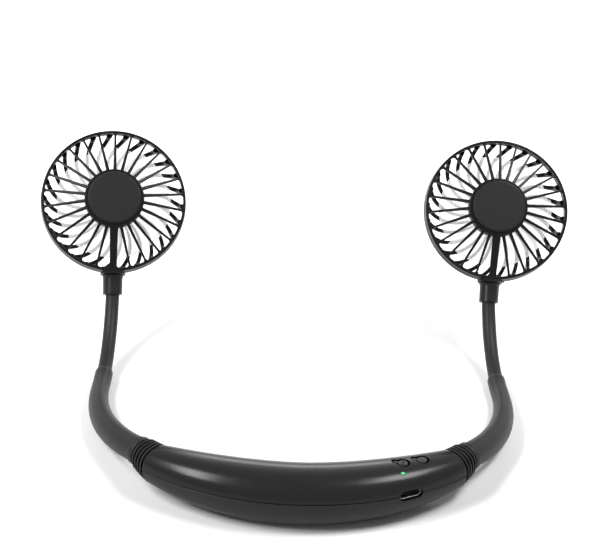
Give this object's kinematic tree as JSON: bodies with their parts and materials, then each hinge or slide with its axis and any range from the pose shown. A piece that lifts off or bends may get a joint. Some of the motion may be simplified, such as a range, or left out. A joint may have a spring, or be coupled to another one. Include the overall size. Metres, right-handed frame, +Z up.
{
  "type": "electric neck fan",
  "caption": "Neck fan with a curved battery housing, flexible arms that swing and bend, and round caged fan heads that swivel on their stems.",
  "frame": {"origin": "centre of the neck arc that the housing follows, on the plane that the fan lies on", "axes": "+Z up from the table, +Y from the housing towards the fan heads, +X to the side of the buttons and the charging port"},
  "size_m": [0.245, 0.1815, 0.0951],
  "materials": {
    "shell": "satin black",
    "control": "satin black",
    "rib": "matte black",
    "silicone": "soft matte, slightly grey black",
    "grille": "satin black",
    "impeller": "frosted, lets light through",
    "port_metal": "bright",
    "screw": "plain",
    "motor": "satin",
    "bearing": "plain",
    "core": "plain",
    "cell": "gloss film",
    "board": "plain",
    "light": "lit green"
  },
  "bodies": {
    "housing": {"upper_shell": "shell", "lower_shell": "shell", "case_screws": "screw", "main_board": "board", "board_screws": "screw", "power_switch": "screw", "speed_switch": "screw", "status_light": "light", "charging_port": "port_metal", "battery_cells": "cell", "left_collar": "rib", "right_collar": "rib"},
    "power_button": {"power_button": "control"},
    "speed_button": {"speed_button": "control"},
    "left_arm": {"left_sleeve": "silicone", "left_neck": "silicone", "left_core": "core"},
    "left_stem": {"left_socket": "grille"},
    "left_head": {"left_front_grille": "grille", "left_rear_grille": "grille", "left_hub_cap": "grille", "left_motor": "motor", "left_motor_bearing": "bearing", "left_motor_screws": "screw"},
    "left_rotor": {"left_impeller": "impeller", "left_motor_shaft": "core"},
    "right_arm": {"right_sleeve": "silicone", "right_neck": "silicone", "right_core": "core"},
    "right_stem": {"right_socket": "grille"},
    "right_head": {"right_front_grille": "grille", "right_rear_grille": "grille", "right_hub_cap": "grille", "right_motor": "motor", "right_motor_bearing": "bearing", "right_motor_screws": "screw"},
    "right_rotor": {"right_impeller": "impeller", "right_motor_shaft": "core"}
  },
  "joints": [
    {"name": "power_button_press", "type": "slide", "parent": "housing", "child": "power_button", "axis": [0, 0, -1], "range_m": [0, 0.0005], "stiffness_N_per_m": 1500, "springref_m": -0.0003},
    {"name": "speed_button_press", "type": "slide", "parent": "housing", "child": "speed_button", "axis": [0, 0, -1], "range_m": [0, 0.0005], "stiffness_N_per_m": 1500, "springref_m": -0.0003},
    {"name": "left_arm_swing", "type": "hinge", "parent": "housing", "child": "left_arm", "pos_m": [-0.05924, -0.06649, 0.0113], "axis": [0, 0, 1], "range_deg": [-8, 25], "deforming": ["left_collar", "left_core"]},
    {"name": "left_neck_bend", "type": "hinge", "parent": "left_arm", "child": "left_stem", "pos_m": [-0.0875, 0.02715, 0.01312], "axis": [1, 0, 0], "range_deg": [-35, 60], "deforming": ["left_neck", "left_core"]},
    {"name": "left_head_swivel", "type": "hinge", "parent": "left_stem", "child": "left_head", "pos_m": [-0.0875, 0.04067, 0.02712], "axis": [-0.0244, 0.5445, 0.8384], "range_deg": [-90, 90]},
    {"name": "left_fan_spin", "type": "hinge", "parent": "left_head", "child": "left_rotor", "pos_m": [-0.08797, 0.06097, 0.06516], "axis": [0.1547, -0.8265, 0.5413], "continuous": true},
    {"name": "right_arm_swing", "type": "hinge", "parent": "housing", "child": "right_arm", "pos_m": [0.05924, -0.06649, 0.0113], "axis": [0, 0, -1], "range_deg": [-8, 25], "deforming": ["right_collar", "right_core"]},
    {"name": "right_neck_bend", "type": "hinge", "parent": "right_arm", "child": "right_stem", "pos_m": [0.0875, 0.02715, 0.01312], "axis": [1, 0, 0], "range_deg": [-35, 60], "deforming": ["right_neck", "right_core"]},
    {"name": "right_head_swivel", "type": "hinge", "parent": "right_stem", "child": "right_head", "pos_m": [0.0875, 0.04067, 0.02712], "axis": [0.0663, 0.5434, 0.8368], "range_deg": [-90, 90]},
    {"name": "right_fan_spin", "type": "hinge", "parent": "right_head", "child": "right_rotor", "pos_m": [0.09017, 0.06089, 0.06511], "axis": [-0.0461, -0.8361, 0.5466], "continuous": true}
  ]
}
